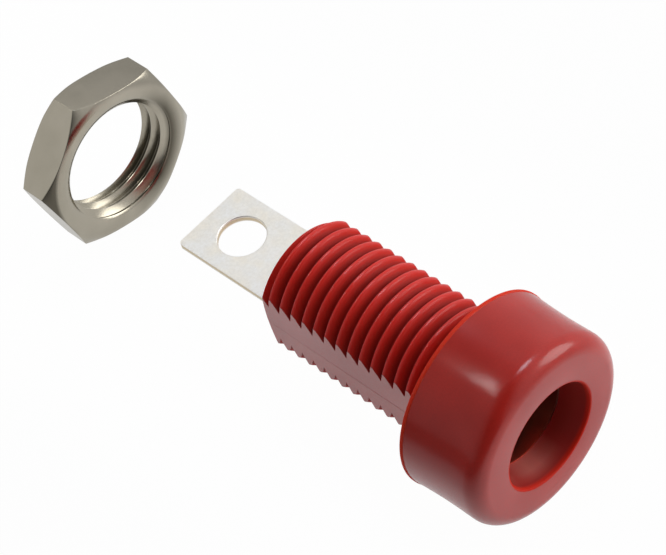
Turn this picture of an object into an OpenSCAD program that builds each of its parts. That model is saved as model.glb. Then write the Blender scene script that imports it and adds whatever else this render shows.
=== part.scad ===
// Panel socket for a 4 mm banana plug, with a solder lug and its hexagon nut.
// The origin is on the socket's axis, in the rear face of the head, which seats on the panel.
// The mouth faces -Y and the solder lug points to +Y, with its flat sides facing up and down.
// All sizes are in millimetres and are built from the plug's bore outwards.

/* [Contact sleeve] */
// Bore of the sleeve, which takes the plug
plug_bore_d = 4.1; // [3.9:0.05:4.6]
// Thickness of the sheet that the contact is stamped from
sheet = 0.45; // [0.3:0.05:0.6]
// Length of the rolled sleeve
sleeve_len = 7.9; // [6:0.1:8.4]
// Distance of the sleeve's front edge ahead of the panel seat
sleeve_front = 0.3; // [0:0.05:0.6]
// Bevel inside the sleeve's mouth, which leads the plug in
sleeve_bevel = 0.2; // [0.05:0.05:0.3]
// Open seam along the top of the sleeve
seam_gap = 0.6; // [0.2:0.1:1]
// Width of the neck that joins the sleeve to the lug
neck_w = 2.4; // [1.6:0.1:2.8]
// Slope of the neck as it rises from the sleeve's bottom to the axis
neck_angle = 45; // [40:1:55]

/* [Solder lug] */
// Width of the lug
lug_w = 4.95; // [4:0.05:5.2]
// Reach of the lug behind the shank
lug_reach = 7.95; // [6:0.05:12]
// Rounding of the lug's two corners
lug_corner_r = 0.2; // [0.1:0.05:1]
// Hole for the wire
lug_hole_d = 2.9; // [1.5:0.1:3.2]
// Distance of the hole's centre from the lug's tip
lug_hole_inset = 2.75; // [2:0.05:4]

/* [Shank] */
// Length of the shank behind the panel seat
shank_len = 12.55; // [11.8:0.05:16]
// Clearance all round the sleeve in its cavity
cavity_clear = 0.1; // [0.05:0.05:0.2]
// Clearance round the lug and the neck where they pass through the rear wall
slot_clear = 0.05; // [0.02:0.01:0.1]
// Wall between the cavity and each of the two flats
flat_wall = 0.65; // [0.4:0.05:1]
// Depth of the flats below the root of the thread
flat_depth = 0.3; // [0.1:0.05:0.5]
// Bevel round the rear end, measured across
rear_bevel_w = 0.35; // [0.1:0.05:0.6]
// Bevel round the rear end, measured along the axis
rear_bevel_len = 0.1; // [0.05:0.05:0.3]

/* [Thread] */
// Distance from one crest to the next
pitch = 0.85; // [0.7:0.05:1.1]
// Height of the crests above the root
thread_depth = 0.4; // [0.2:0.05:0.6]
// Flat width on each crest
crest_land = 0.2; // [0.05:0.05:0.3]
// Flat width in each root
root_land = 0.1; // [0.05:0.05:0.2]
// Plain collar between the panel seat and the thread, which centres the socket in the panel
collar_len = 0.8; // [0.4:0.05:1.5]
// Shortest distance of the last crest from the rear end
last_crest_gap = 0.75; // [0.6:0.05:1.5]

/* [Head] */
// Length of the head in front of the panel
head_len = 5.25; // [4.5:0.05:8]
// How far the head stands out beyond the thread's crests
head_overhang = 1.8; // [1.3:0.05:3]
// Rounding of the head's front edge
head_round = 1; // [0.2:0.05:1.2]
// Flare of the head towards its rear edge
head_flare = 0.15; // [0:0.05:0.4]
// Length of the head over which it flares
head_flare_len = 1.6; // [0.5:0.1:3]
// Width of the ledge between the recess and the contact's cavity
recess_ledge = 0.35; // [0.2:0.05:0.8]
// How far the recess widens towards its mouth
mouth_flare = 0.3; // [0.1:0.05:0.6]
// Length of the recess over which it widens
mouth_len = 1.8; // [0.5:0.1:2.5]
// Thickness left between the recess and the panel seat
recess_floor = 0.75; // [0.65:0.05:1.5]

/* [Nut] */
// Clearance of the nut's bore over the thread's crests
nut_clear = 0.1; // [0.05:0.01:0.2]
// Wall of the nut at the middle of each side
nut_wall = 0.95; // [0.7:0.05:2]
// Thickness of the nut
nut_h = 2.7; // [2:0.1:4]
// How far the bevels start outside the circle that touches the sides
nut_bevel_start = 0.17; // [0:0.01:0.3]
// Slope of the bevels on both faces
nut_bevel_angle = 29; // [15:1:40]
// Countersink at both ends of the nut's bore
nut_sink = 0.2; // [0.05:0.05:0.5]
// Turn of the hexagon about the axis
nut_turn = 15; // [0:1:59]
// Thinnest panel that the nut clamps
panel_min = 0.9; // [0.5:0.05:2]
// Turns that the nut is screwed back from the thinnest panel, clear of the lug
nut_turns_back = 32; // [30:1:40]

/* [Hidden] */

$fn = 96;
// Overrun of each cut past the face that it opens
cut = 0.5;
// Length of the shank that is moulded into the head
shank_root = 0.5;

sleeve_in_r = plug_bore_d / 2;
sleeve_out_r = sleeve_in_r + sheet;
sleeve_rear = sleeve_len - sleeve_front;
cavity_r = sleeve_out_r + cavity_clear;

// The neck leaves the sleeve's bottom and levels out on the axis
neck_rise = sleeve_in_r + sheet / 2;
neck_run = neck_rise / tan(neck_angle);
neck_fold = sheet * tan(neck_angle / 2);
neck_start = sleeve_rear + sheet;
neck_end = neck_start + neck_run;
lug_tip = shank_len + lug_reach;
lug_hole_y = lug_tip - lug_hole_inset;

flat_half = cavity_r + flat_wall;
root_r = flat_half + flat_depth;
thread_r = root_r + thread_depth;
flank = (pitch - crest_land - root_land) / 2;
// The collar ends as a crest does, and the first crest follows one pitch behind it
first_crest = collar_len - crest_land / 2 + pitch;
// A small allowance keeps a whole number of pitches from being rounded down
crest_gaps = floor((shank_len - first_crest - last_crest_gap) / pitch + 0.001);

head_r = thread_r + head_overhang;
recess_r = cavity_r + recess_ledge;
mouth_r = recess_r + mouth_flare;

nut_bore_r = thread_r + nut_clear;
nut_side_r = nut_bore_r + nut_wall;
nut_corner_r = nut_side_r / cos(30);
nut_bevel_r = nut_side_r + nut_bevel_start;
nut_y = panel_min + nut_turns_back * pitch;

// Turns a shape that was made along +Z to run along +Y, from the panel seat towards the lug
module along_axis() {
    rotate([-90, 0, 0]) children();
}

// Half section of one crest, as radius and distance behind the panel seat
function crest(y) = [
    [root_r, y - crest_land / 2 - flank],
    [thread_r, y - crest_land / 2],
    [thread_r, y + crest_land / 2],
    [root_r, y + crest_land / 2 + flank]
];

// Half section of the shank: the collar, then the thread's crests as rings one pitch apart
module shank_section() {
    polygon(concat(
        [
            [0, -shank_root],
            [thread_r, -shank_root],
            [thread_r, collar_len],
            [root_r, collar_len + flank]
        ],
        [for (i = [0 : crest_gaps]) each crest(first_crest + i * pitch)],
        [
            [root_r, shank_len - rear_bevel_len],
            [root_r - rear_bevel_w, shank_len],
            [0, shank_len]
        ]
    ));
}

// Threaded shank with a flat along each side
module shank() {
    intersection() {
        along_axis() rotate_extrude() shank_section();
        translate([-flat_half, -shank_root, -thread_r])
            cube([2 * flat_half, shank_root + shank_len, 2 * thread_r]);
    }
}

// Half section of the head, with its front edge rounded and its rear edge flared
module head_section() {
    translate([0, -head_len]) square([head_r - head_round, head_len]);
    translate([0, head_round - head_len]) square([head_r, head_len - head_round]);
    translate([head_r - head_round, head_round - head_len]) circle(head_round);
    polygon([[0, -head_flare_len], [head_r, -head_flare_len], [head_r + head_flare, 0], [0, 0]]);
}

// Recess that leads the plug in through its flared mouth, and behind it the cavity for the sleeve
module plug_hollow() {
    along_axis() {
        translate([0, 0, -head_len - cut]) cylinder(r = recess_r, h = head_len + cut - recess_floor);
        translate([0, 0, -head_len]) cylinder(r1 = mouth_r, r2 = recess_r, h = mouth_len);
        translate([0, 0, -recess_floor - cut]) cylinder(r = cavity_r, h = recess_floor + cut + sleeve_rear);
    }
}

// Slot that the lug passes through, and the trough in front of it for the sloping neck
module lug_slot() {
    slot_half = lug_w / 2 + slot_clear;
    slot_top = sheet / 2 + slot_clear;
    trough_half = neck_w / 2 + slot_clear;
    trough_end = neck_end + neck_fold / 2 + slot_clear;
    translate([-slot_half, sleeve_rear - cut, -slot_top])
        cube([2 * slot_half, shank_len - sleeve_rear + 2 * cut, 2 * slot_top]);
    translate([-trough_half, sleeve_rear - cut, -cavity_r])
        cube([2 * trough_half, trough_end - sleeve_rear + cut, cavity_r + slot_top]);
}

// Head and threaded shank, moulded as one piece
module body() {
    color([0.62, 0.07, 0.06])
    difference() {
        union() {
            along_axis() rotate_extrude() head_section();
            shank();
        }
        plug_hollow();
        lug_slot();
    }
}

// Sleeve rolled from the sheet, open along its seam
module sleeve() {
    difference() {
        along_axis() translate([0, 0, -sleeve_front]) difference() {
            cylinder(r = sleeve_out_r, h = sleeve_len);
            translate([0, 0, -cut]) cylinder(r = sleeve_in_r, h = sleeve_len + 2 * cut);
            cylinder(r1 = sleeve_in_r + sleeve_bevel, r2 = sleeve_in_r, h = sleeve_bevel);
        }
        translate([-seam_gap / 2, -sleeve_front - cut, 0])
            cube([seam_gap, sleeve_len + 2 * cut, sleeve_out_r + cut]);
    }
}

// Neck, seen from the side: along the sleeve's bottom, up the slope and level on the axis
module neck() {
    intersection() {
        translate([-neck_w / 2, 0, 0]) rotate([90, 0, 90]) linear_extrude(neck_w) polygon([
            [sleeve_rear - cut, -sleeve_out_r],
            [neck_start + neck_fold / 2, -sleeve_out_r],
            [neck_end + neck_fold / 2, -sheet / 2],
            [neck_end + cut, -sheet / 2],
            [neck_end + cut, sheet / 2],
            [neck_end - neck_fold / 2, sheet / 2],
            [neck_start - neck_fold / 2, -sleeve_in_r],
            [sleeve_rear - cut, -sleeve_in_r]
        ]);
        along_axis() cylinder(r = sleeve_out_r, h = lug_tip);
    }
}

// Flat outline of the lug, with its two rear corners rounded
module lug_outline() {
    side = lug_w / 2 - lug_corner_r;
    translate([-lug_w / 2, neck_end]) square([lug_w, lug_tip - lug_corner_r - neck_end]);
    translate([-side, neck_end]) square([2 * side, lug_tip - neck_end]);
    for (x = [-side, side]) translate([x, lug_tip - lug_corner_r]) circle(lug_corner_r);
}

// Sleeve, neck and solder lug, stamped and rolled as one piece
module contact() {
    color([0.86, 0.84, 0.78])
    difference() {
        union() {
            sleeve();
            neck();
            translate([0, 0, -sheet / 2]) linear_extrude(sheet) lug_outline();
        }
        translate([0, lug_hole_y, -sheet / 2 - cut]) cylinder(d = lug_hole_d, h = sheet + 2 * cut);
    }
}

// Half section that trims the hexagon's corners on both faces
module nut_bevels() {
    reach = nut_corner_r + cut;
    rise = (reach - nut_bevel_r) * tan(nut_bevel_angle);
    polygon([
        [0, 0],
        [nut_bevel_r, 0],
        [reach, rise],
        [reach, nut_h - rise],
        [nut_bevel_r, nut_h],
        [0, nut_h]
    ]);
}

// Hexagon nut, screwed back off the thread
module nut() {
    color([0.6, 0.58, 0.53])
    translate([0, nut_y, 0]) along_axis() difference() {
        intersection() {
            linear_extrude(nut_h) rotate(nut_turn) circle(nut_corner_r, $fn = 6);
            rotate_extrude() nut_bevels();
        }
        translate([0, 0, -cut]) cylinder(r = nut_bore_r, h = nut_h + 2 * cut);
        cylinder(r1 = nut_bore_r + nut_sink, r2 = nut_bore_r, h = nut_sink);
        translate([0, 0, nut_h - nut_sink])
            cylinder(r1 = nut_bore_r, r2 = nut_bore_r + nut_sink, h = nut_sink);
    }
}

body();
contact();
nut();
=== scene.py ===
import math

import bpy
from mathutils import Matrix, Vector


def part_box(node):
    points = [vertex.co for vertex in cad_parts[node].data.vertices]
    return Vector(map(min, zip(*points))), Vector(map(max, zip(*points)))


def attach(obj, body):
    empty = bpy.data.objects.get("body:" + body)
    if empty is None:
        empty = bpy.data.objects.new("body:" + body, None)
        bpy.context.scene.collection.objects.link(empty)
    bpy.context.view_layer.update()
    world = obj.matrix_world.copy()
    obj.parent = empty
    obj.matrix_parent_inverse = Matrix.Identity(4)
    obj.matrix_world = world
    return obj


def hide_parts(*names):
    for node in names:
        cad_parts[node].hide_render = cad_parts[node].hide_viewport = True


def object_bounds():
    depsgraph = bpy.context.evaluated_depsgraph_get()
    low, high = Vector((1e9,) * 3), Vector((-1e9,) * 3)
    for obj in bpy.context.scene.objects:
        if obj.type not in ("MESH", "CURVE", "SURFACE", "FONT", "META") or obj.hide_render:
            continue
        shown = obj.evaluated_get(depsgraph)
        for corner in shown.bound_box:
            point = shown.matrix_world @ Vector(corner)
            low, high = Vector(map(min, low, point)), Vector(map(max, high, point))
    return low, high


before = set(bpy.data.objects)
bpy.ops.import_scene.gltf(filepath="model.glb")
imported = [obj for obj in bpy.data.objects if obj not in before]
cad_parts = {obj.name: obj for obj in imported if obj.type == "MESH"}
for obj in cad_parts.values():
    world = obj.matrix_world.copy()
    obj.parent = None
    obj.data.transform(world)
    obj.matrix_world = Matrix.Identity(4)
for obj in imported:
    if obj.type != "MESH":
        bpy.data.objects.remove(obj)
cad_low, cad_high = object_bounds()
bpy.ops.object.select_all(action="DESELECT")
bpy.context.scene.view_settings.view_transform = "Standard"


# The stage: a sheet lies under the part, white below it and greyer to both sides, in a room that is
# dark on the left and pale on the right. Three lamps and three small cards light it. The sheet shows
# white to the camera, glows in reflections and keeps part of the part's shadow.
sheet_side = 3.0
sheet_shades = {-0.030: 0.10, -0.017: 0.50, -0.0095: 0.93, 0.006: 0.95, 0.022: 0.55}
sheet_ramp_half = 0.05
sheet_glow = (1.0, 1.0, 1.0, 1.0)
camera_glow_share = 0.98
mirror_glow_share = 0.62
room_dark = (0.08, 0.08, 0.082, 1.0)
room_pale = (0.72, 0.72, 0.73, 1.0)
room_pale_side = (0.914, -0.406, 0.0)
room_fade = (0.0, 0.6)
room_back = (0.26, 0.26, 0.265, 1.0)
room_back_side = (-0.6, 0.8, 0.0)
room_back_fade = (0.0, 0.7)
camera_place = (-0.043751, -0.056544, 0.099097)
camera_turn = (38.13, 10.77, -46.73)
camera_lens = 124.15
camera_sensor = 36.0
camera_near_clip = 0.005
new_stop_place = 0.5
colour_a = 6
colour_b = 7
colour_out = 2
warm_white = (1.0, 0.99, 0.97)
cool_white = (0.80, 0.88, 1.0)
part_origin = (0.0, 0.0, 0.0)
lug_middle = (0.0, 0.017, 0.0)
nut_middle = (0.0, 0.0295, 0.0)
lamps = {
    "front_panel_lamp": ((0.2290, -0.1727, 0.0956), part_origin, (0.200, 0.240), 0.352, warm_white),
    "small_lamp": ((-0.0547, 0.1439, 0.2578), part_origin, (0.080, 0.016), 0.036, warm_white),
    "small_blue_lamp": ((0.1114, 0.0397, 0.2777), part_origin, (0.100, 0.100), 0.170, cool_white),
    "lug_card": ((0.021, 0.049, 0.046), lug_middle, (0.05, 0.05), 0.0024, warm_white),
    "edge_card": ((-0.0095, 0.0970, 0.0860), nut_middle, (0.036, 0.014), 0.0065, warm_white),
    "nut_card": ((-0.054, 0.0666, 0.0245), nut_middle, (0.06, 0.06), 0.0040, warm_white),
}


def add_node(tree, kind, inputs=None, **options):
    """Adds a shader node, sets its options and gives its inputs their values."""
    made = tree.nodes.new(kind)
    for name, value in options.items():
        setattr(made, name, value)
    for name, value in (inputs or {}).items():
        made.inputs[name].default_value = value
    return made


def aim_at(thing, place, target):
    """Puts a lamp at a place and turns it to a target."""
    thing.location = place
    thing.rotation_mode = "QUATERNION"
    thing.rotation_quaternion = (Vector(target) - Vector(place)).to_track_quat("-Z", "Y")


bpy.ops.mesh.primitive_plane_add(size=sheet_side, location=(0.0, 0.0, cad_low.z))
white_sheet = bpy.context.object
white_sheet.name = "white_sheet"
bpy.ops.object.transform_apply(location=True, rotation=False, scale=False)

paper = bpy.data.materials.new("white_paper")
paper.use_nodes = True
tree = paper.node_tree
tree.nodes.clear()
ray = add_node(tree, "ShaderNodeLightPath")
mirrored = add_node(tree, "ShaderNodeMath", operation="MAXIMUM")
spot = add_node(tree, "ShaderNodeTexCoord")
across = add_node(tree, "ShaderNodeSeparateXYZ")
across_share = add_node(
    tree,
    "ShaderNodeMapRange",
    {"From Min": -sheet_ramp_half, "From Max": sheet_ramp_half},
)
shade = add_node(tree, "ShaderNodeValToRGB")
shade.color_ramp.interpolation = "EASE"
stops = shade.color_ramp.elements
while len(stops) < len(sheet_shades):
    stops.new(new_stop_place)
for stop, (place, level) in zip(stops, sheet_shades.items()):
    stop.position = (place + sheet_ramp_half) / (2.0 * sheet_ramp_half)
    stop.color = (level, level, level, 1.0)
mirror_level = add_node(tree, "ShaderNodeMath", operation="MULTIPLY")
mirror_level.inputs[1].default_value = mirror_glow_share
mirror_share = add_node(tree, "ShaderNodeMath", operation="MULTIPLY")
share = add_node(tree, "ShaderNodeMath", operation="MULTIPLY_ADD")
share.inputs[1].default_value = camera_glow_share
glow = add_node(tree, "ShaderNodeEmission", {"Color": sheet_glow})
matt = add_node(tree, "ShaderNodeBsdfDiffuse")
blend = add_node(tree, "ShaderNodeMixShader")
output = add_node(tree, "ShaderNodeOutputMaterial")
tree.links.new(ray.outputs["Is Glossy Ray"], mirrored.inputs[0])
tree.links.new(ray.outputs["Is Transmission Ray"], mirrored.inputs[1])
tree.links.new(spot.outputs["Object"], across.inputs[0])
tree.links.new(across.outputs["X"], across_share.inputs["Value"])
tree.links.new(across_share.outputs["Result"], shade.inputs["Fac"])
tree.links.new(shade.outputs["Color"], matt.inputs["Color"])
tree.links.new(shade.outputs["Color"], mirror_level.inputs[0])
tree.links.new(mirrored.outputs[0], mirror_share.inputs[0])
tree.links.new(mirror_level.outputs[0], mirror_share.inputs[1])
tree.links.new(ray.outputs["Is Camera Ray"], share.inputs[0])
tree.links.new(mirror_share.outputs[0], share.inputs[2])
tree.links.new(share.outputs[0], blend.inputs["Fac"])
tree.links.new(matt.outputs[0], blend.inputs[1])
tree.links.new(glow.outputs[0], blend.inputs[2])
tree.links.new(blend.outputs[0], output.inputs["Surface"])
white_sheet.data.materials.append(paper)

room = bpy.data.worlds.new("dim_room")
bpy.context.scene.world = room
room.use_nodes = True
tree = room.node_tree
tree.nodes.clear()
direction = add_node(tree, "ShaderNodeTexCoord")
facing = add_node(tree, "ShaderNodeVectorMath", operation="DOT_PRODUCT")
facing.inputs[1].default_value = room_pale_side
fade = add_node(
    tree,
    "ShaderNodeMapRange",
    {"From Min": room_fade[0], "From Max": room_fade[1]},
    interpolation_type="SMOOTHSTEP",
)
walls = add_node(tree, "ShaderNodeMix", data_type="RGBA")
walls.inputs[colour_a].default_value = room_dark
walls.inputs[colour_b].default_value = room_pale
facing_back = add_node(tree, "ShaderNodeVectorMath", operation="DOT_PRODUCT")
facing_back.inputs[1].default_value = room_back_side
back_fade = add_node(
    tree,
    "ShaderNodeMapRange",
    {"From Min": room_back_fade[0], "From Max": room_back_fade[1]},
    interpolation_type="SMOOTHSTEP",
)
all_walls = add_node(tree, "ShaderNodeMix", data_type="RGBA", blend_type="ADD")
all_walls.inputs[colour_b].default_value = room_back
ray = add_node(tree, "ShaderNodeLightPath")
backdrop = add_node(tree, "ShaderNodeMix", data_type="RGBA")
light = add_node(tree, "ShaderNodeBackground")
output = add_node(tree, "ShaderNodeOutputWorld")
tree.links.new(direction.outputs["Generated"], facing.inputs[0])
tree.links.new(facing.outputs["Value"], fade.inputs["Value"])
tree.links.new(fade.outputs["Result"], walls.inputs["Factor"])
tree.links.new(ray.outputs["Is Camera Ray"], backdrop.inputs["Factor"])
tree.links.new(direction.outputs["Generated"], facing_back.inputs[0])
tree.links.new(facing_back.outputs["Value"], back_fade.inputs["Value"])
tree.links.new(back_fade.outputs["Result"], all_walls.inputs["Factor"])
tree.links.new(walls.outputs[colour_out], all_walls.inputs[colour_a])
tree.links.new(all_walls.outputs[colour_out], backdrop.inputs[colour_a])
backdrop.inputs[colour_b].default_value = sheet_glow
tree.links.new(backdrop.outputs[colour_out], light.inputs["Color"])
tree.links.new(light.outputs[0], output.inputs["Surface"])

for lamp_name, (place, target, sides, power, colour) in lamps.items():
    bulb = bpy.data.lights.new(lamp_name, "AREA")
    bulb.shape = "ELLIPSE"
    bulb.size = sides[0]
    bulb.size_y = sides[1]
    bulb.energy = power
    bulb.color = colour
    lamp = bpy.data.objects.new(lamp_name, bulb)
    bpy.context.scene.collection.objects.link(lamp)
    aim_at(lamp, place, target)

camera_data = bpy.data.cameras.new("photo_camera")
camera_data.sensor_fit = "HORIZONTAL"
camera_data.sensor_width = camera_sensor
camera_data.lens = camera_lens
camera_data.clip_start = camera_near_clip
camera = bpy.data.objects.new("photo_camera", camera_data)
camera.location = camera_place
camera.rotation_euler = [math.radians(angle) for angle in camera_turn]
bpy.context.scene.collection.objects.link(camera)
bpy.context.scene.camera = camera


# The body: head and threaded shank, one moulding of glossy red nylon with a flat on either side. Its
# colour
# carries painted light: a painted glow on its rim and lip, painted shade in the thread's grooves and the
# recess, painted light on the crests and a painted light patch with sheen in the recess. The mould leaves
# a true helical thread, and its core pin leaves the plug's recess, the contact's cavity behind it and the
# slot for the lug.
# Meshes are shaped in millimetres.
mm = 1000.0
near = 0.002
weld = 0.0002
body_low, body_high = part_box("body")
head_front = body_low.y * mm
shank_rear = body_high.y * mm
rim_r = body_high.x * mm
rim_front = -0.22
rim_step = 0.04
rim_round = 0.05
rim_round_steps = 3
head_waist_r = 5.745
head_waist_y = -2.9
head_crown = 0.02
head_flare = 0.115
head_flare_power = 1.8
head_side_front = -4.1
head_side_steps = 14
head_crown_front = -4.25
head_round_r = 1.0
head_round_steps = 14
head_steps = 192
thread_r = 3.95
root_r = 3.55
pitch = 0.85
crest_land = 0.04
root_land = 0.05
rear_run = 0.26
crest_round = 0.20
crest_round_steps = 6
crest_rear_round = 0.018
crest_rear_steps = 3
crest_on_right = 12.095
thread_steps = 96
spare_turns = 2
collar_r = 3.97
collar_rear = 0.8
collar_steps = 130
shank_front = -0.5
flat_x = 3.25
rear_face_r = 3.2
rear_bevel_slope = 0.1 / 0.35
blank_r = 4.6
mouth_r = 3.2
mouth_len = 1.6
recess_r = 2.92
recess_floor = -0.75
recess_corner_r = 0.2
recess_corner_steps = 5
cavity_r = 2.6
cavity_rear = 7.6
mouth_round = 0.10
mouth_round_steps = 5
slot_half = 2.525
slot_top = 0.275
trough_half = 1.25
trough_rear = 10.47
parting_z = -0.3
parting_w = 0.1
parting_rise = 0.012
parting_inset = 0.35 * parting_w
flat_facing = 0.99
smooth_angle = 32.0
value_a = 2
value_b = 3
across_axis = (1.0, 0.0, 1.0)
noise_core = (0.35, 0.65)
noise_spread = (0.3, 0.7)
nylon_ior = 1.25
nylon_coat_roughness = 0.17
nylon_depth_weight = 0.5
nylon_depth_radius = (1.0, 0.12, 0.08)
nylon_depth_scale = 0.00015
nylon_cloud_scale = 260.0
nylon_speckle_scale = 9000.0
nylon_speckle_strength = (0.30, 0.0)
nylon_bump_strength = 0.30
nylon_bump_depth = 0.00003
nylon_bump_by_thread = (0.15, 1.0)
red_dark = (0.47, 0.0140, 0.0065, 1.0)
red_pale = (0.56, 0.0185, 0.0090, 1.0)
red_speckle = (0.34, 0.008, 0.004, 1.0)
red_recess_shade = (0.37, 0.019, 0.015, 1.0)
red_lit_patch = (0.58, 0.145, 0.120, 1.0)
red_lip_glow = (0.64, 0.020, 0.006, 1.0)
red_rim_glow = (0.74, 0.040, 0.014, 1.0)
red_groove_shade = (0.20, 0.004, 0.003, 1.0)
red_crest_light = (0.74, 0.026, 0.017, 1.0)
behind_head_y = (0.0001, 0.0004)
flat_edge_x = (0.00320, 0.00324)
recess_edge_r = (0.00335, 0.00325)
recess_inner_y = (-0.0009, -0.0012)
lip_edge_r = (0.00334, 0.00328)
lip_edge_y = (-0.00493, -0.00510)
rim_edge_r = (0.00572, 0.00578)
rim_edge_y = (-0.00026, -0.00020)
lit_patch_left_x = (-0.0021, -0.0010)
lit_patch_left_strength = (0.25, 1.0)
lit_patch_right_x = (-0.0003, 0.0012)
lit_patch_right_strength = (1.0, 0.08)
lit_patch_front_y = (-0.0049, -0.0043)
lit_patch_front_strength = (0.1, 1.0)
thread_height_r = (0.00356, 0.00394)
shank_end_y = (0.0119, 0.0122)
shank_end_height = (0.0, 0.8)
groove_heights = (0.0, 0.6)
groove_strength = (0.75, 0.0)
crest_heights = (0.4, 1.0)
crest_strength = (0.0, 0.9)
tip_heights = (0.72, 1.0)
head_roughness = (0.34, 0.46)
crest_roughness = (0.28, 0.38)
matt_roughness = (0.50, 0.65)
head_coat = (0.76, 0.88)
thin_coat = (0.55, 0.65)
bare_coat = (0.0, 0.02)


def select_only(piece):
    """Makes one piece the active and only selected object."""
    bpy.ops.object.select_all(action="DESELECT")
    piece.select_set(True)
    bpy.context.view_layer.objects.active = piece


def pick(piece, kind, wanted):
    """Opens a piece in edit mode with only the wanted points, edges or faces selected."""
    select_only(piece)
    bpy.ops.object.mode_set(mode="EDIT")
    bpy.ops.mesh.select_mode(type=kind)
    bpy.ops.mesh.select_all(action="DESELECT")
    bpy.ops.object.mode_set(mode="OBJECT")
    points = piece.data.vertices
    if kind == "VERT":
        for point in points:
            point.select = wanted(point.co)
    elif kind == "EDGE":
        for edge in piece.data.edges:
            edge.select = all(wanted(points[i].co) for i in edge.vertices)
    else:
        for face in piece.data.polygons:
            face.select = wanted(face.center, face.normal)
    bpy.ops.object.mode_set(mode="EDIT")


def draw_line(name, points):
    """Draws a line through points: one vertex, extruded from each point to the next."""
    bpy.ops.object.select_all(action="DESELECT")
    bpy.ops.mesh.primitive_plane_add(size=1.0)
    line = bpy.context.object
    line.name = name
    bpy.ops.object.mode_set(mode="EDIT")
    bpy.ops.mesh.select_mode(type="VERT")
    bpy.ops.mesh.select_all(action="SELECT")
    bpy.ops.mesh.merge(type="CENTER")
    bpy.ops.transform.translate(value=points[0])
    for start, end in zip(points, points[1:]):
        step = Vector(end) - Vector(start)
        bpy.ops.mesh.extrude_region_move(TRANSFORM_OT_translate={"value": step})
    bpy.ops.object.mode_set(mode="OBJECT")
    return line


def round_corner(line, corner, size, segments):
    """Rounds a drawn line at one of its corners."""
    spot = Vector(corner)
    pick(line, "VERT", lambda place: (place - spot).length < near)
    bpy.ops.mesh.bevel(offset=size, segments=segments, affect="VERTICES")
    bpy.ops.object.mode_set(mode="OBJECT")


def close_up(piece):
    """Merges doubled points and turns all faces outwards."""
    select_only(piece)
    bpy.ops.object.mode_set(mode="EDIT")
    bpy.ops.mesh.select_all(action="SELECT")
    bpy.ops.mesh.remove_doubles(threshold=weld)
    bpy.ops.mesh.normals_make_consistent(inside=False)
    bpy.ops.object.mode_set(mode="OBJECT")


def turn_line(line, steps, turns=1, lead=0.0):
    """Turns a drawn line about the socket's axis, with a lead for a thread."""
    select_only(line)
    turning = line.modifiers.new("turning", "SCREW")
    turning.axis = "Y"
    turning.steps = steps
    turning.render_steps = steps
    turning.iterations = turns
    turning.screw_offset = lead
    turning.use_merge_vertices = True
    turning.merge_threshold = weld
    bpy.ops.object.modifier_apply(modifier="turning")
    close_up(line)
    return line


def slice_off(piece, place, beyond):
    """Cuts a piece at a plane, takes away what lies beyond it and closes the cut."""
    select_only(piece)
    bpy.ops.object.mode_set(mode="EDIT")
    bpy.ops.mesh.select_all(action="SELECT")
    bpy.ops.mesh.bisect(
        plane_co=place,
        plane_no=beyond,
        use_fill=True,
        clear_outer=True,
        threshold=weld,
    )
    bpy.ops.object.mode_set(mode="OBJECT")


def combine(piece, tool, operation):
    """Joins a tool shape to a piece, cuts it away, or keeps only what both share."""
    select_only(piece)
    step = piece.modifiers.new("combine", "BOOLEAN")
    step.operation = operation
    step.solver = "EXACT"
    step.object = tool
    bpy.ops.object.modifier_apply(modifier="combine")
    bpy.data.objects.remove(tool)


def draw_block(name, low, high):
    """Makes a block between two corners."""
    bpy.ops.object.select_all(action="DESELECT")
    middle = (Vector(low) + Vector(high)) / 2.0
    bpy.ops.mesh.primitive_cube_add(size=1.0, location=middle)
    block = bpy.context.object
    block.name = name
    block.scale = Vector(high) - Vector(low)
    bpy.ops.object.transform_apply(location=True, rotation=False, scale=True)
    return block


def cut_thread(name, crest_r, depth, low, high):
    """Makes a closed threaded rod between two places on the axis, in step with the body's thread."""
    turns_ahead = math.floor((crest_on_right - low) / pitch) + spare_turns
    crest = crest_on_right - turns_ahead * pitch
    root = crest + crest_land + rear_run - pitch
    turns = math.ceil((high - root) / pitch) + spare_turns
    slope = depth / (crest - root - root_land - crest_round / 2.0)
    points = [(crest_r - depth, root, 0.0), (crest_r - depth, root + root_land, 0.0)]
    for step in range(crest_round_steps + 1):
        left = 1.0 - step / crest_round_steps
        fall = slope * crest_round / 2.0 * left**2
        points.append((crest_r - fall, crest - crest_round * left, 0.0))
    points.append((crest_r, crest + crest_land, 0.0))
    points.append((crest_r - depth, root + pitch, 0.0))
    rod = draw_line(name, points)
    round_corner(rod, points[-2], crest_rear_round, crest_rear_steps)
    turn_line(rod, thread_steps, turns, pitch)
    slice_off(rod, (0.0, low, 0.0), (0.0, -1.0, 0.0))
    slice_off(rod, (0.0, high, 0.0), (0.0, 1.0, 0.0))
    close_up(rod)
    return rod


shank = cut_thread(
    "body_shank",
    thread_r,
    thread_r - root_r,
    shank_front,
    shank_rear + pitch,
)
collar = turn_line(
    draw_line(
        "collar",
        [
            (0.0, shank_front - pitch, 0.0),
            (collar_r, shank_front - pitch, 0.0),
            (collar_r, collar_rear, 0.0),
            (0.0, collar_rear, 0.0),
        ],
    ),
    collar_steps,
)
combine(shank, collar, "UNION")
bevel_len = (blank_r - rear_face_r) * rear_bevel_slope
blank = turn_line(
    draw_line(
        "blank",
        [
            (0.0, shank_front, 0.0),
            (blank_r, shank_front, 0.0),
            (blank_r, shank_rear - bevel_len, 0.0),
            (rear_face_r, shank_rear, 0.0),
            (0.0, shank_rear, 0.0),
        ],
    ),
    head_steps,
)
combine(shank, blank, "INTERSECT")
slice_off(shank, (flat_x, 0.0, 0.0), (1.0, 0.0, 0.0))
slice_off(shank, (-flat_x, 0.0, 0.0), (-1.0, 0.0, 0.0))

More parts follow.
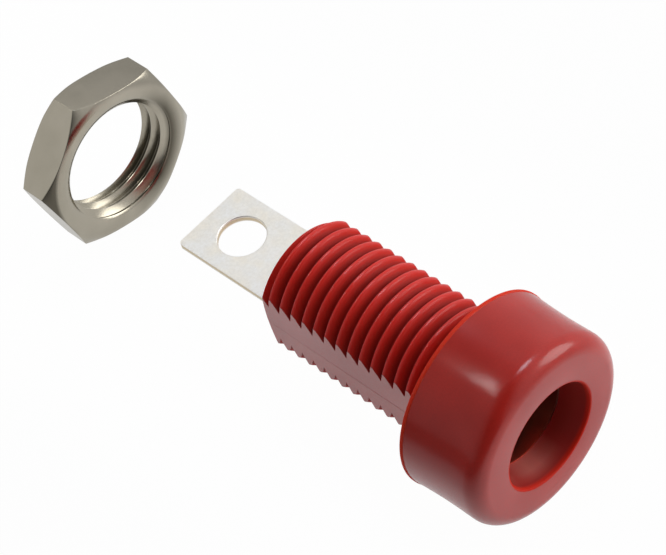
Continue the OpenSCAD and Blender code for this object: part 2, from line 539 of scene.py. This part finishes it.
side_points = [(head_waist_r + head_crown, head_front, 0.0)]
for step in range(1, head_side_steps + 1):
    side_y = head_side_front + (rim_front - head_side_front) * (step / head_side_steps)
    from_waist = side_y - head_waist_y
    if side_y < head_waist_y:
        swell = head_crown * (from_waist / (head_crown_front - head_waist_y)) ** 2
    else:
        swell = head_flare * (from_waist / (rim_front - head_waist_y)) ** head_flare_power
    side_points.append((head_waist_r + swell, side_y, 0.0))
side_points.append((rim_r, rim_front + rim_step, 0.0))
side_points.append((rim_r, 0.0, 0.0))
body = draw_line(
    "body_moulding",
    [(0.0, head_front, 0.0)] + side_points + [(0.0, 0.0, 0.0)],
)
round_corner(body, side_points[0], head_round_r, head_round_steps)
round_corner(body, side_points[-2], rim_round / 2.0, rim_round_steps)
round_corner(body, side_points[-1], rim_round, rim_round_steps)
turn_line(body, head_steps)
combine(body, shank, "UNION")

mouth_slope = (mouth_r - recess_r) / mouth_len
core_pin = draw_line(
    "core_pin",
    [
        (0.0, head_front - pitch, 0.0),
        (mouth_r + pitch * mouth_slope, head_front - pitch, 0.0),
        (recess_r, head_front + mouth_len, 0.0),
        (recess_r, recess_floor, 0.0),
        (cavity_r, recess_floor, 0.0),
        (cavity_r, cavity_rear, 0.0),
        (0.0, cavity_rear, 0.0),
    ],
)
round_corner(core_pin, (recess_r, recess_floor, 0.0), recess_corner_r, recess_corner_steps)
turn_line(core_pin, head_steps)
combine(body, core_pin, "DIFFERENCE")
slot_cut = draw_block(
    "slot_cut",
    (-slot_half, cavity_rear - pitch, -slot_top),
    (slot_half, shank_rear + pitch, slot_top),
)
combine(body, slot_cut, "DIFFERENCE")
trough_cut = draw_block(
    "trough_cut",
    (-trough_half, cavity_rear - pitch, -cavity_r),
    (trough_half, trough_rear, slot_top - near),
)
combine(body, trough_cut, "DIFFERENCE")
close_up(body)


def on_mouth(place):
    """True on the sharp edge where the recess meets the head's front face."""
    return abs(place.y - head_front) < near and math.hypot(place.x, place.z) < mouth_r + near


pick(body, "EDGE", on_mouth)
bpy.ops.mesh.bevel(offset=mouth_round, segments=mouth_round_steps, affect="EDGES")
bpy.ops.object.mode_set(mode="OBJECT")


def on_flat(side, middle, normal):
    """True for the faces of the shank's flat on one side."""
    return normal.x * side > flat_facing and abs(middle.x - side * flat_x) < near


for side in (-1.0, 1.0):
    for edge_z in (parting_z - parting_w / 2.0, parting_z + parting_w / 2.0):
        pick(body, "FACE", lambda middle, normal: on_flat(side, middle, normal))
        bpy.ops.mesh.bisect(plane_co=(0.0, 0.0, edge_z), plane_no=(0.0, 0.0, 1.0), threshold=weld)
        bpy.ops.object.mode_set(mode="OBJECT")
    pick(
        body,
        "FACE",
        lambda middle, normal: on_flat(side, middle, normal)
        and abs(middle.z - parting_z) < parting_w / 4.0,
    )
    bpy.ops.mesh.inset(thickness=parting_inset, depth=parting_rise)
    bpy.ops.object.mode_set(mode="OBJECT")


def finish_piece(piece, material, rides_on, node):
    """Brings a piece from millimetres to its size, smooths it and gives it to its body."""
    select_only(piece)
    piece.scale = (1.0 / mm, 1.0 / mm, 1.0 / mm)
    bpy.ops.object.transform_apply(location=True, rotation=True, scale=True)
    bpy.ops.object.shade_smooth_by_angle(angle=math.radians(smooth_angle))
    evened = piece.modifiers.new("evened", "WEIGHTED_NORMAL")
    evened.keep_sharp = True
    bpy.ops.object.modifier_apply(modifier="evened")
    piece.data.materials.clear()
    piece.data.materials.append(material)
    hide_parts(node)
    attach(piece, rides_on)


def make_grain():
    """Builds the fine unevenness that all three materials share."""
    group = bpy.data.node_groups.new("fine_grain", "ShaderNodeTree")
    plugs = group.interface
    plugs.new_socket("Coarse Scale", in_out="INPUT", socket_type="NodeSocketFloat")
    plugs.new_socket("Fine Scale", in_out="INPUT", socket_type="NodeSocketFloat")
    plugs.new_socket("Cloud", in_out="OUTPUT", socket_type="NodeSocketFloat")
    plugs.new_socket("Speckle", in_out="OUTPUT", socket_type="NodeSocketFloat")
    entry = add_node(group, "NodeGroupInput")
    leave = add_node(group, "NodeGroupOutput")
    place = add_node(group, "ShaderNodeTexCoord")
    cloud = add_node(group, "ShaderNodeTexNoise", {"Detail": 3.0, "Roughness": 0.5})
    speckle = add_node(group, "ShaderNodeTexNoise", {"Detail": 4.0, "Roughness": 0.65})
    group.links.new(place.outputs["Object"], cloud.inputs["Vector"])
    group.links.new(place.outputs["Object"], speckle.inputs["Vector"])
    group.links.new(entry.outputs["Coarse Scale"], cloud.inputs["Scale"])
    group.links.new(entry.outputs["Fine Scale"], speckle.inputs["Scale"])
    group.links.new(cloud.outputs["Fac"], leave.inputs["Cloud"])
    group.links.new(speckle.outputs["Fac"], leave.inputs["Speckle"])
    return group


fine_grain = make_grain()


def start_material(name):
    """Makes a material, and returns it with its node tree and its shader."""
    made = bpy.data.materials.new(name)
    made.use_nodes = True
    return made, made.node_tree, made.node_tree.nodes["Principled BSDF"]


def place_grain(tree, coarse, fine):
    """Places the shared unevenness in a material, with its own scales per metre."""
    made = add_node(tree, "ShaderNodeGroup", node_tree=fine_grain)
    made.inputs["Coarse Scale"].default_value = coarse
    made.inputs["Fine Scale"].default_value = fine
    return made.outputs["Cloud"], made.outputs["Speckle"]


def locate(tree):
    """Returns the place on the piece, and the same place split into X, Y and Z."""
    spot = add_node(tree, "ShaderNodeTexCoord")
    split = add_node(tree, "ShaderNodeSeparateXYZ")
    tree.links.new(spot.outputs["Object"], split.inputs[0])
    return spot.outputs["Object"], split.outputs


def measure_radius(tree, place):
    """Returns how far a place is from the socket's axis."""
    off_axis = add_node(tree, "ShaderNodeVectorMath", operation="MULTIPLY")
    off_axis.inputs[1].default_value = across_axis
    radius = add_node(tree, "ShaderNodeVectorMath", operation="LENGTH")
    tree.links.new(place, off_axis.inputs[0])
    tree.links.new(off_axis.outputs[0], radius.inputs[0])
    return radius.outputs["Value"]


def ramp(tree, source, limits, values=(0.0, 1.0)):
    """Maps a value between two limits to a range, and returns the output."""
    made = add_node(
        tree,
        "ShaderNodeMapRange",
        {"From Min": limits[0], "From Max": limits[1], "To Min": values[0], "To Max": values[1]},
    )
    tree.links.new(source, made.inputs["Value"])
    return made.outputs["Result"]


def blend_colours(tree, factor, first, second):
    """Mixes two colours, each given as a value or an output, and returns the output."""
    made = add_node(tree, "ShaderNodeMix", data_type="RGBA")
    tree.links.new(factor, made.inputs[0])
    for socket, colour in ((made.inputs[colour_a], first), (made.inputs[colour_b], second)):
        if isinstance(colour, tuple):
            socket.default_value = colour
        else:
            tree.links.new(colour, socket)
    return made.outputs[colour_out]


def calculate(tree, operation, first, second=None):
    """Works out one value from one or two others, and returns the output."""
    made = add_node(tree, "ShaderNodeMath", operation=operation)
    tree.links.new(first, made.inputs[0])
    if second is not None:
        tree.links.new(second, made.inputs[1])
    return made.outputs[0]


def blend_values(tree, factor, first, second):
    """Mixes two values, and returns the output."""
    made = add_node(tree, "ShaderNodeMix", data_type="FLOAT")
    tree.links.new(factor, made.inputs[0])
    tree.links.new(first, made.inputs[value_a])
    tree.links.new(second, made.inputs[value_b])
    return made.outputs[0]


def both(tree, first, second):
    """Returns the share where two masks meet."""
    return calculate(tree, "MULTIPLY", first, second)


def roughen(tree, shader, height, strength, depth):
    """Gives a material its fine bumps."""
    bump = add_node(tree, "ShaderNodeBump", {"Strength": strength, "Distance": depth})
    tree.links.new(height, bump.inputs["Height"])
    tree.links.new(bump.outputs["Normal"], shader.inputs["Normal"])


nylon, tree, shader = start_material("red_nylon")
shader.inputs["IOR"].default_value = nylon_ior
shader.inputs["Coat Roughness"].default_value = nylon_coat_roughness
shader.inputs["Subsurface Weight"].default_value = nylon_depth_weight
shader.inputs["Subsurface Radius"].default_value = nylon_depth_radius
shader.inputs["Subsurface Scale"].default_value = nylon_depth_scale
cloud, speckle = place_grain(tree, nylon_cloud_scale, nylon_speckle_scale)
place, along = locate(tree)
radius = measure_radius(tree, place)
beside = calculate(tree, "ABSOLUTE", along["X"])
behind_head = ramp(tree, along["Y"], behind_head_y)
off_flats = ramp(tree, beside, flat_edge_x, (1.0, 0.0))
on_thread = both(tree, behind_head, off_flats)
in_recess = both(tree, ramp(tree, radius, recess_edge_r), ramp(tree, along["Y"], recess_inner_y))
on_lip = both(tree, ramp(tree, radius, lip_edge_r), ramp(tree, along["Y"], lip_edge_y))
on_rim = both(tree, ramp(tree, radius, rim_edge_r), ramp(tree, along["Y"], rim_edge_y))
red = blend_colours(tree, ramp(tree, cloud, noise_core), red_dark, red_pale)
red = blend_colours(tree, ramp(tree, speckle, noise_core, nylon_speckle_strength), red, red_speckle)
# Painted shade: the recess wall is a darker red.
red = blend_colours(tree, in_recess, red, red_recess_shade)
# Painted light patch with sheen: a pale pinkish patch on one side of the recess, deeper in.
lit_patch = both(
    tree,
    ramp(tree, along["X"], lit_patch_left_x, lit_patch_left_strength),
    ramp(tree, along["X"], lit_patch_right_x, lit_patch_right_strength),
)
lit_patch = both(tree, lit_patch, ramp(tree, along["Y"], lit_patch_front_y, lit_patch_front_strength))
red = blend_colours(tree, both(tree, in_recess, lit_patch), red, red_lit_patch)
# Painted glow: the mouth's lip and the head's rear rim are a brighter orange red, as if lit through.
red = blend_colours(tree, on_lip, red, red_lip_glow)
red = blend_colours(tree, on_rim, red, red_rim_glow)
# Painted shade in the thread's grooves and painted light on its crests, set by distance from the axis; the
# shank's rear end counts as crest and gets the painted light too.
thread_height = ramp(tree, radius, thread_height_r)
end_height = ramp(tree, along["Y"], shank_end_y, shank_end_height)
height = calculate(tree, "MAXIMUM", thread_height, end_height)
groove_shade_share = both(tree, on_thread, ramp(tree, height, groove_heights, groove_strength))
crest_light_share = both(tree, on_thread, ramp(tree, height, crest_heights, crest_strength))
tip_share = both(tree, on_thread, ramp(tree, height, tip_heights))
red = blend_colours(tree, groove_shade_share, red, red_groove_shade)
red = blend_colours(tree, crest_light_share, red, red_crest_light)
tree.links.new(red, shader.inputs["Base Color"])
gloss = ramp(tree, speckle, noise_spread, head_roughness)
crest_gloss = ramp(tree, speckle, noise_spread, crest_roughness)
matt_gloss = ramp(tree, speckle, noise_spread, matt_roughness)
skin = ramp(tree, cloud, noise_core, head_coat)
thin_skin = ramp(tree, cloud, noise_core, thin_coat)
bare = ramp(tree, cloud, noise_core, bare_coat)
for mask, mask_gloss, mask_skin in (
    (on_thread, matt_gloss, bare),
    (tip_share, crest_gloss, thin_skin),
    (in_recess, matt_gloss, thin_skin),
    (on_lip, matt_gloss, bare),
    (on_rim, matt_gloss, bare),
):
    gloss = blend_values(tree, mask, gloss, mask_gloss)
    skin = blend_values(tree, mask, skin, mask_skin)
tree.links.new(gloss, shader.inputs["Roughness"])
tree.links.new(skin, shader.inputs["Coat Weight"])
rough_height = both(tree, speckle, ramp(tree, on_thread, (0.0, 1.0), nylon_bump_by_thread))
roughen(tree, shader, rough_height, nylon_bump_strength, nylon_bump_depth)
finish_piece(body, nylon, "socket", "body")


# The contact: sheet brass, stamped, rolled into a sleeve with a thin cup in front, plated and pushed into
# the body's cavity. The sleeve is open along its seam, and a neck rises from it to the flat lug, which
# stands out through the slot. The lug's cut edges and its hole show the warm brass under the plating.
contact_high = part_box("contact")[1]
sheet_t = 0.45
sleeve_in_r = 2.05
sleeve_out_r = sleeve_in_r + sheet_t
sleeve_rear = 7.6
sleeve_lead_in = 0.2
cup_front = -3.38
cup_in_r = 2.78
cup_out_r = 2.9
cup_floor = -1.0
cup_seat = -0.8
seam_half = 0.3
neck_half = 1.2
neck_start = sleeve_rear + sheet_t
neck_end = neck_start + sleeve_in_r + sheet_t / 2.0
neck_slope = 45.0
neck_fold = sheet_t * math.tan(math.radians(neck_slope) / 2.0)
lug_half = 2.475
lug_tip = contact_high.y * mm
lug_corner_r = 0.2
lug_corner_steps = 5
lug_hole_r = 1.45
lug_hole_round = 0.07
lug_hole_round_steps = 4
lug_hole_inset = 2.75
lug_hole_y = lug_tip - lug_hole_inset
lug_hole_cut_len = 2.0
edge_ease = 0.05
edge_ease_steps = 3
edge_ease_angle = 40.0
overlap = 0.5
tin_warm = (0.97, 0.92, 0.82, 1.0)
tin_cool = (0.95, 0.94, 0.91, 1.0)
tin_speckle = (0.80, 0.76, 0.68, 1.0)
tin_shaded_in_body = (0.30, 0.13, 0.09, 1.0)
brass_edge = (0.72, 0.61, 0.43, 1.0)
cup_sheen = (0.95, 0.16, 0.10, 1.0)
tin_cloud_scale = 700.0
tin_speckle_scale = 6500.0
tin_speckle_strength = (0.45, 0.0)
tin_roughness = (0.40, 0.58)
tin_roughness_in_body = (0.30, 0.42)
tin_bump_strength = 0.25
tin_bump_depth = 0.00002
cut_edge_z = (0.00014, 0.00010)
lug_start_y = (0.0124, 0.0126)
in_body_y = (0.0105, 0.0095)
cup_low_z = (-0.0018, -0.0026)
cup_front_y = (-0.0033, -0.0025)
cup_front_strength = (0.85, 0.0)
cup_left_x = (0.0002, 0.0016)
cup_left_strength = (1.0, 0.25)


def fill_and_pull(line, pull):
    """Fills a closed outline with a face and pulls it to a thickness."""
    close_up(line)
    select_only(line)
    bpy.ops.object.mode_set(mode="EDIT")
    bpy.ops.mesh.select_mode(type="EDGE")
    bpy.ops.mesh.select_all(action="SELECT")
    bpy.ops.mesh.edge_face_add()
    bpy.ops.mesh.select_mode(type="FACE")
    bpy.ops.mesh.select_all(action="SELECT")
    bpy.ops.mesh.extrude_region_move(TRANSFORM_OT_translate={"value": pull})
    bpy.ops.object.mode_set(mode="OBJECT")
    close_up(line)
    return line


contact = draw_line(
    "contact_stamping",
    [
        (cup_in_r, cup_front, 0.0),
        (cup_out_r, cup_front, 0.0),
        (cup_out_r, cup_seat, 0.0),
        (sleeve_out_r, cup_seat, 0.0),
        (sleeve_out_r, sleeve_rear, 0.0),
        (sleeve_in_r, sleeve_rear, 0.0),
        (sleeve_in_r, cup_floor + sleeve_lead_in, 0.0),
        (sleeve_in_r + sleeve_lead_in, cup_floor, 0.0),
        (cup_in_r, cup_floor, 0.0),
        (cup_in_r, cup_front, 0.0),
    ],
)
close_up(contact)
turn_line(contact, thread_steps)
seam_cut = draw_block(
    "seam_cut",
    (-seam_half, cup_front - overlap, 0.0),
    (seam_half, sleeve_rear + overlap, cup_out_r + overlap),
)
combine(contact, seam_cut, "DIFFERENCE")
neck = fill_and_pull(
    draw_line(
        "neck",
        [
            (-neck_half, sleeve_rear - overlap, -sleeve_out_r - overlap),
            (-neck_half, neck_start + neck_fold / 2.0 - overlap, -sleeve_out_r - overlap),
            (-neck_half, neck_end + neck_fold / 2.0, -sheet_t / 2.0),
            (-neck_half, neck_end + overlap, -sheet_t / 2.0),
            (-neck_half, neck_end + overlap, sheet_t / 2.0),
            (-neck_half, neck_end - neck_fold / 2.0, sheet_t / 2.0),
            (-neck_half, neck_start - neck_fold / 2.0, -sleeve_in_r),
            (-neck_half, sleeve_rear - overlap, -sleeve_in_r),
            (-neck_half, sleeve_rear - overlap, -sleeve_out_r - overlap),
        ],
    ),
    (2.0 * neck_half, 0.0, 0.0),
)
neck_round = turn_line(
    draw_line(
        "neck_round",
        [
            (0.0, 0.0, 0.0),
            (sleeve_out_r - near, 0.0, 0.0),
            (sleeve_out_r - near, lug_tip, 0.0),
            (0.0, lug_tip, 0.0),
        ],
    ),
    thread_steps,
)
combine(neck, neck_round, "INTERSECT")
combine(contact, neck, "UNION")
lug_line = draw_line(
    "lug",
    [
        (-lug_half, neck_end, -sheet_t / 2.0 + near),
        (lug_half, neck_end, -sheet_t / 2.0 + near),
        (lug_half, lug_tip, -sheet_t / 2.0 + near),
        (-lug_half, lug_tip, -sheet_t / 2.0 + near),
        (-lug_half, neck_end, -sheet_t / 2.0 + near),
    ],
)
close_up(lug_line)
for corner_x in (-lug_half, lug_half):
    lug_corner = (corner_x, lug_tip, -sheet_t / 2.0 + near)
    round_corner(lug_line, lug_corner, lug_corner_r, lug_corner_steps)
lug = fill_and_pull(lug_line, (0.0, 0.0, sheet_t - 2.0 * near))
combine(contact, lug, "UNION")
bpy.ops.object.select_all(action="DESELECT")
bpy.ops.mesh.primitive_cylinder_add(
    vertices=thread_steps,
    radius=lug_hole_r,
    depth=lug_hole_cut_len,
    location=(0.0, lug_hole_y, 0.0),
)
combine(contact, bpy.context.object, "DIFFERENCE")
close_up(contact)


def on_hole_rim(place):
    """True on the two sharp rims of the lug's hole."""
    on_face = abs(abs(place.z) - sheet_t / 2.0) < 2.0 * near
    return on_face and math.hypot(place.x, place.y - lug_hole_y) < lug_hole_r + near


pick(contact, "EDGE", on_hole_rim)
bpy.ops.mesh.bevel(offset=lug_hole_round, segments=lug_hole_round_steps, affect="EDGES")
bpy.ops.object.mode_set(mode="OBJECT")
eased = contact.modifiers.new("eased_edges", "BEVEL")
eased.width = edge_ease
eased.segments = edge_ease_steps
eased.limit_method = "ANGLE"
eased.angle_limit = math.radians(edge_ease_angle)
select_only(contact)
bpy.ops.object.modifier_apply(modifier="eased_edges")

plating, tree, shader = start_material("tin_plated_brass")
shader.inputs["Metallic"].default_value = 1.0
cloud, speckle = place_grain(tree, tin_cloud_scale, tin_speckle_scale)
place, along = locate(tree)
pale = blend_colours(tree, ramp(tree, cloud, noise_core), tin_warm, tin_cool)
pale = blend_colours(tree, ramp(tree, speckle, noise_core, tin_speckle_strength), pale, tin_speckle)
inside_sheet = ramp(tree, calculate(tree, "ABSOLUTE", along["Z"]), cut_edge_z)
cut_edge = both(tree, inside_sheet, ramp(tree, along["Y"], lug_start_y))
pale = blend_colours(tree, cut_edge, pale, brass_edge)
# Painted shade: the contact is a dark bronze where it lies inside the body.
in_body = ramp(tree, along["Y"], in_body_y)
pale = blend_colours(tree, in_body, pale, tin_shaded_in_body)
# Painted reflection: a red sheen of the nylon on the cup's front, on its lower left.
at_cup_front = both(
    tree,
    ramp(tree, along["Z"], cup_low_z),
    ramp(tree, along["Y"], cup_front_y, cup_front_strength),
)
at_cup_front = both(tree, at_cup_front, ramp(tree, along["X"], cup_left_x, cup_left_strength))
pale = blend_colours(tree, at_cup_front, pale, cup_sheen)
tree.links.new(pale, shader.inputs["Base Color"])
gloss = blend_values(
    tree,
    in_body,
    ramp(tree, speckle, noise_spread, tin_roughness),
    ramp(tree, speckle, noise_spread, tin_roughness_in_body),
)
tree.links.new(gloss, shader.inputs["Roughness"])
roughen(tree, shader, speckle, tin_bump_strength, tin_bump_depth)
finish_piece(contact, plating, "socket", "contact")


# The nut: a hexagon of nickel-plated brass that clamps the panel, turned from bar, bevelled on both faces,
# countersunk and tapped, so its thread meshes with the body's wherever it stands whole turns away. Its
# slide along the axis stands for screwing, and painted dark reflections lie beside the hole and on one
# bevel.
nut_low, nut_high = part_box("nut")
nut_front = nut_low.y * mm
nut_rear = nut_high.y * mm
nut_side_r = 5.0
nut_sides = 6
nut_corner_r = nut_side_r / math.cos(math.radians(180.0 / nut_sides))
nut_turn = (90.0, 45.0, 0.0)
nut_bevel_r = 5.0
nut_bevel_angle = 33.0
nut_bevel_slope = math.tan(math.radians(nut_bevel_angle))
nut_bevel_round = 0.35
nut_bevel_round_steps = 8
nut_edge_round = 0.10
nut_edge_round_steps = 3
nut_edge_angle = 20.0
nut_groove_r = 4.02
nut_tooth_r = 3.58
sink_r = 4.15
sink_depth = 0.55
sink_slope = 1.2
sink_round = 0.3
sink_round_steps = 8
nickel_dark = (0.385, 0.355, 0.285, 1.0)
nickel_pale = (0.445, 0.41, 0.335, 1.0)
nickel_cloud_scale = 320.0
nickel_speckle_scale = 11000.0
nickel_roughness = (0.17, 0.25)
nickel_bump_strength = 0.10
nickel_bump_depth = 0.00002
dark_reflection_side = (0.92, 0.0, -0.39)
dark_reflection_colour = (0.075, 0.066, 0.048, 1.0)
dark_reflection_hole_r = (0.0049, 0.0041)
dark_reflection_hole_strength = (0.0, 0.92)
dark_reflection_hole_side = (0.0012, 0.0034)
dark_reflection_thread_r = (0.0038, 0.0041)
dark_reflection_thread_strength = (0.05, 1.0)
dark_reflection_bevel_depth = (0.00003, 0.00010)
dark_reflection_bevel_strength = (0.85, 0.0)
dark_reflection_bevel_side = (-0.0030, -0.0044)

bpy.ops.object.select_all(action="DESELECT")
bpy.ops.mesh.primitive_cylinder_add(
    vertices=nut_sides,
    radius=nut_corner_r,
    depth=nut_rear - nut_front + 2.0 * overlap,
    location=(0.0, (nut_front + nut_rear) / 2.0, 0.0),
    rotation=[math.radians(angle) for angle in nut_turn],
)
nut = bpy.context.object
nut.name = "hexagon_nut"
bpy.ops.object.transform_apply(location=True, rotation=True, scale=True)
reach = nut_corner_r + overlap
rise = (reach - nut_bevel_r) * nut_bevel_slope
bevel_form = draw_line(
    "bevel_form",
    [
        (0.0, nut_front, 0.0),
        (nut_bevel_r, nut_front, 0.0),
        (reach, nut_front + rise, 0.0),
        (reach, nut_rear - rise, 0.0),
        (nut_bevel_r, nut_rear, 0.0),
        (0.0, nut_rear, 0.0),
    ],
)
for face_y in (nut_front, nut_rear):
    round_corner(bevel_form, (nut_bevel_r, face_y, 0.0), nut_bevel_round, nut_bevel_round_steps)
turn_line(bevel_form, head_steps)
combine(nut, bevel_form, "INTERSECT")
close_up(nut)
worn = nut.modifiers.new("worn_edges", "BEVEL")
worn.width = nut_edge_round
worn.segments = nut_edge_round_steps
worn.limit_method = "ANGLE"
worn.angle_limit = math.radians(nut_edge_angle)
select_only(nut)
bpy.ops.object.modifier_apply(modifier="worn_edges")
close_up(nut)
tap = cut_thread(
    "tap",
    nut_groove_r,
    nut_groove_r - nut_tooth_r,
    nut_front - overlap,
    nut_rear + overlap,
)
combine(nut, tap, "DIFFERENCE")
for face_y, inward in ((nut_front, 1.0), (nut_rear, -1.0)):
    rim_y = face_y - inward * near
    sink = draw_line(
        "sink",
        [
            (0.0, face_y - inward * overlap, 0.0),
            (sink_r + overlap, face_y - inward * overlap, 0.0),
            (sink_r + overlap, rim_y, 0.0),
            (sink_r, rim_y, 0.0),
            (sink_r - sink_depth * sink_slope, face_y + inward * sink_depth, 0.0),
            (0.0, face_y + inward * sink_depth, 0.0),
        ],
    )
    round_corner(sink, (sink_r, rim_y, 0.0), sink_round, sink_round_steps)
    turn_line(sink, head_steps)
    combine(nut, sink, "DIFFERENCE")
close_up(nut)

plated, tree, shader = start_material("nickel_plated_brass")
shader.inputs["Metallic"].default_value = 1.0
cloud, speckle = place_grain(tree, nickel_cloud_scale, nickel_speckle_scale)
place, along = locate(tree)
radius = measure_radius(tree, place)
# Painted reflection: the plating is darkened right of the hole and on the left front bevel, as dark
# surroundings mirrored.
sideways = add_node(tree, "ShaderNodeVectorMath", operation="DOT_PRODUCT")
sideways.inputs[1].default_value = dark_reflection_side
tree.links.new(place, sideways.inputs[0])
grey = blend_colours(tree, ramp(tree, cloud, noise_core), nickel_dark, nickel_pale)
dark_reflection_by_hole = both(
    tree,
    ramp(tree, radius, dark_reflection_hole_r, dark_reflection_hole_strength),
    ramp(tree, sideways.outputs["Value"], dark_reflection_hole_side),
)
dark_reflection_by_hole = both(tree, dark_reflection_by_hole, ramp(tree, radius, dark_reflection_thread_r, dark_reflection_thread_strength))
grey = blend_colours(tree, dark_reflection_by_hole, grey, dark_reflection_colour)
bevel_rise = add_node(tree, "ShaderNodeMath", operation="MULTIPLY")
bevel_rise.inputs[1].default_value = nut_bevel_slope
tree.links.new(radius, bevel_rise.inputs[0])
behind_bevel = calculate(tree, "SUBTRACT", along["Y"], bevel_rise.outputs[0])
bevel_line = nut_low.y - nut_bevel_r * nut_bevel_slope / mm
bevel_limits = [bevel_line + depth for depth in dark_reflection_bevel_depth]
dark_reflection_on_bevel = both(
    tree,
    ramp(tree, behind_bevel, bevel_limits, dark_reflection_bevel_strength),
    ramp(tree, sideways.outputs["Value"], dark_reflection_bevel_side),
)
grey = blend_colours(tree, dark_reflection_on_bevel, grey, dark_reflection_colour)
tree.links.new(grey, shader.inputs["Base Color"])
tree.links.new(ramp(tree, speckle, noise_spread, nickel_roughness), shader.inputs["Roughness"])
roughen(tree, shader, speckle, nickel_bump_strength, nickel_bump_depth)
finish_piece(nut, plated, "nut", "nut")
